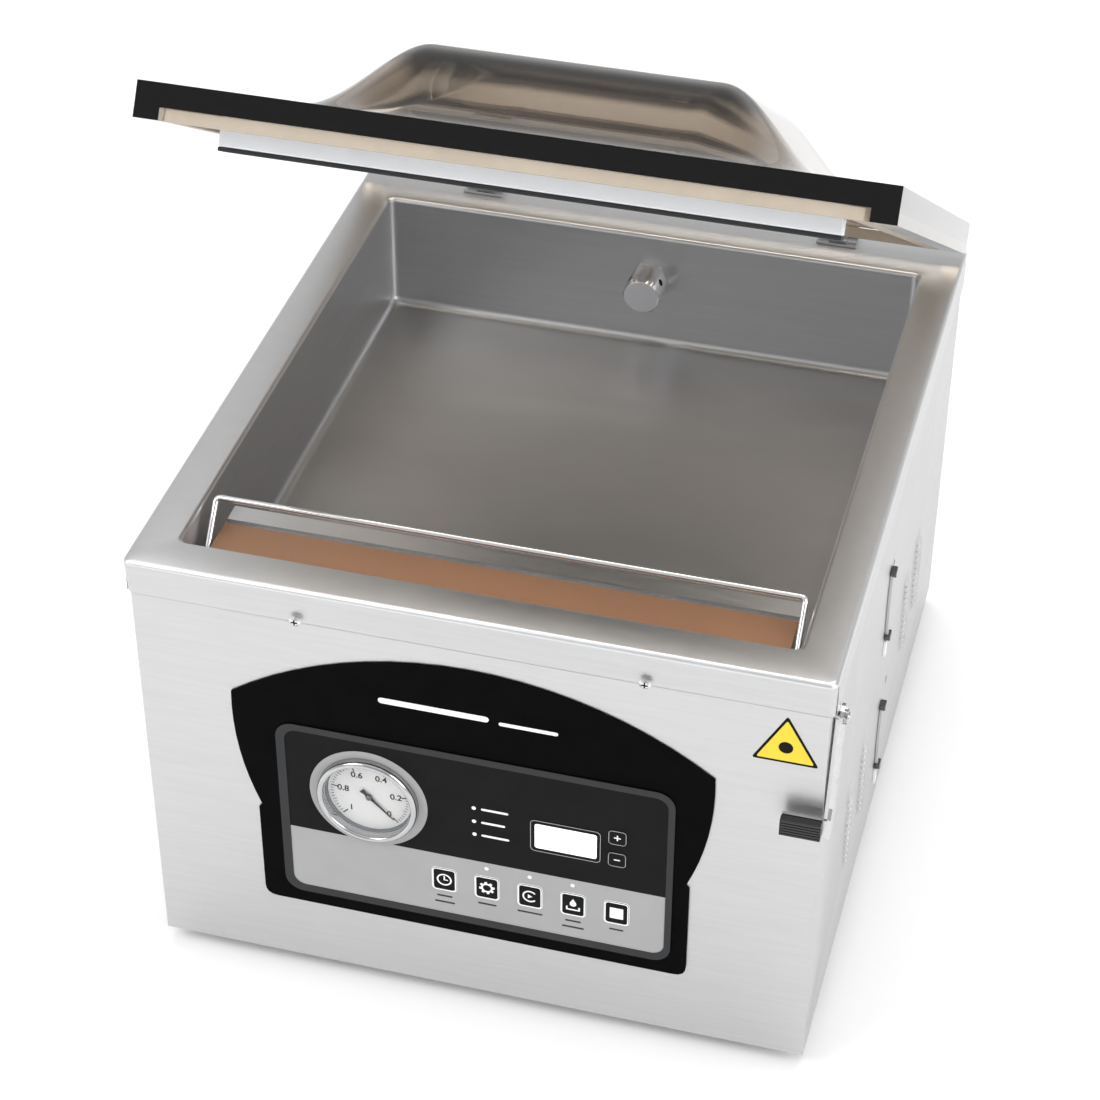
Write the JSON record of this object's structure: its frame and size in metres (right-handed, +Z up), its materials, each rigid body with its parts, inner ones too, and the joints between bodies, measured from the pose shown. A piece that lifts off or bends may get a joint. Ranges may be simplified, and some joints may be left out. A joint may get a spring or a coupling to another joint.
{
  "type": "vacuum packing machine",
  "caption": "Tabletop chamber vacuum sealer: steel housing with gauge and keypad, deep chamber with lifting seal bar and bag clip, smoked domed lid on rear hinges.",
  "frame": {"origin": "on the floor under the middle of the machine's bounding box", "axes": "+Z up, -Y towards the operator, +X to the operator's right"},
  "size_m": [0.443, 0.4965, 0.5846],
  "materials": {
    "steel": "satin brushed sheet",
    "chamber_steel": "satin, polished welds",
    "chrome": "bright plated",
    "aluminium": "satin anodised",
    "acrylic": "smoked, clear, polished",
    "silicone": "matt silicone",
    "black_rubber": "matt",
    "black_plastic": "satin",
    "grey_plastic": "satin",
    "membrane": "printed film",
    "white_plate": "satin white",
    "glass": "clear",
    "ptfe": "PTFE-coated fabric",
    "pump_casting": "cast and painted",
    "core_iron": "varnished laminations",
    "board_green": "solder mask"
  },
  "bodies": {
    "housing": {"top_deck": "steel", "front_panel": "steel", "side_panel_left": "steel", "side_panel_right": "steel", "rear_panel": "steel", "base_plate": "steel", "hinge_base_left": "steel", "hinge_base_right": "steel", "chamber_tub": "chamber_steel", "foot_front_left": "black_rubber", "foot_front_right": "black_rubber", "foot_rear_left": "black_rubber", "foot_rear_right": "black_rubber", "vacuum_hose": "black_rubber", "fascia_plate": "black_plastic", "power_inlet": "black_plastic", "rocker_frame": "black_plastic", "keypad_membrane": "membrane", "display_window": "glass", "gauge_glass": "glass", "circuit_board": "board_green", "gauge_case": "pump_casting", "vacuum_pump": "pump_casting", "transformer": "core_iron", "gauge_dial": "white_plate", "gauge_bezel": "chrome", "deck_screw_left": "chrome", "deck_screw_right": "chrome", "suction_port": "chrome", "lever_screw": "chrome", "lift_cylinder_left": "aluminium", "lift_cylinder_right": "aluminium", "solenoid_valve": "aluminium", "side_strap_upper_left": "grey_plastic", "side_strap_upper_right": "grey_plastic", "side_strap_lower_left": "grey_plastic", "side_strap_lower_right": "grey_plastic"},
    "lid": {"lid_shell": "acrylic", "lid_gasket": "silicone", "counter_bar": "white_plate", "counter_strip": "black_rubber", "hinge_leaf_left": "steel", "hinge_leaf_right": "steel"},
    "seal_carriage": {"seal_bar": "aluminium", "seal_cover": "ptfe", "lift_piston_left": "chrome", "lift_piston_right": "chrome"},
    "clip": {"bag_clip": "chrome"},
    "lever": {"lever_arm": "steel", "lever_grip": "black_plastic"},
    "needle": {"gauge_needle": "black_plastic"},
    "rocker": {"power_rocker": "black_plastic"},
    "fan": {"cooling_fan": "black_plastic"},
    "key_time_body": {"key_time": "black_plastic"},
    "key_preset_body": {"key_preset": "black_plastic"},
    "key_marinate_body": {"key_marinate": "black_plastic"},
    "key_pump_body": {"key_pump": "black_plastic"},
    "key_stop_body": {"key_stop": "black_plastic"},
    "key_plus_body": {"key_plus": "black_plastic"},
    "key_minus_body": {"key_minus": "black_plastic"}
  },
  "joints": [
    {"name": "lid_hinge", "type": "hinge", "parent": "housing", "child": "lid", "pos_m": [0, 0.22575, 0.3206], "axis": [1, 0, 0], "range_deg": [0, 33], "stiffness_Nm_per_rad": 8, "springref_deg": -68.75},
    {"name": "seal_lift", "type": "slide", "parent": "housing", "child": "seal_carriage", "axis": [0, 0, 1], "range_m": [0, 0.0092]},
    {"name": "bag_clip_hinge", "type": "hinge", "parent": "seal_carriage", "child": "clip", "pos_m": [0, -0.18725, 0.2906], "axis": [-1, 0, 0], "range_deg": [0, 37.5]},
    {"name": "lever_hinge", "type": "hinge", "parent": "housing", "child": "lever", "pos_m": [0.2125, -0.22125, 0.2796], "axis": [-1, 0, 0], "range_deg": [0, 165]},
    {"name": "needle_hinge", "type": "hinge", "parent": "housing", "child": "needle", "pos_m": [-0.0667, -0.23665, 0.1612], "axis": [0, -1, 0], "range_deg": [0, 270], "stiffness_Nm_per_rad": 0.0008, "springref_deg": -17.19},
    {"name": "rocker_hinge", "type": "hinge", "parent": "housing", "child": "rocker", "pos_m": [-0.103, 0.24075, 0.0571], "axis": [1, 0, 0], "range_deg": [0, 10]},
    {"name": "fan_spin", "type": "hinge", "parent": "housing", "child": "fan", "pos_m": [0.191, 0.10075, 0.0758], "axis": [1, 0, 0], "continuous": true},
    {"name": "key_time_press", "type": "slide", "parent": "housing", "child": "key_time_body", "axis": [0, 1, 0], "range_m": [0, 0.0006], "stiffness_N_per_m": 1500, "springref_m": -0.0006},
    {"name": "key_preset_press", "type": "slide", "parent": "housing", "child": "key_preset_body", "axis": [0, 1, 0], "range_m": [0, 0.0006], "stiffness_N_per_m": 1500, "springref_m": -0.0006},
    {"name": "key_marinate_press", "type": "slide", "parent": "housing", "child": "key_marinate_body", "axis": [0, 1, 0], "range_m": [0, 0.0006], "stiffness_N_per_m": 1500, "springref_m": -0.0006},
    {"name": "key_pump_press", "type": "slide", "parent": "housing", "child": "key_pump_body", "axis": [0, 1, 0], "range_m": [0, 0.0006], "stiffness_N_per_m": 1500, "springref_m": -0.0006},
    {"name": "key_stop_press", "type": "slide", "parent": "housing", "child": "key_stop_body", "axis": [0, 1, 0], "range_m": [0, 0.0006], "stiffness_N_per_m": 1500, "springref_m": -0.0006},
    {"name": "key_plus_press", "type": "slide", "parent": "housing", "child": "key_plus_body", "axis": [0, 1, 0], "range_m": [0, 0.0006], "stiffness_N_per_m": 1500, "springref_m": -0.0006},
    {"name": "key_minus_press", "type": "slide", "parent": "housing", "child": "key_minus_body", "axis": [0, 1, 0], "range_m": [0, 0.0006], "stiffness_N_per_m": 1500, "springref_m": -0.0006}
  ],
  "couplings": [
    {"joint": "bag_clip_hinge", "follows": "lid_hinge", "ratio": 1.136}
  ]
}
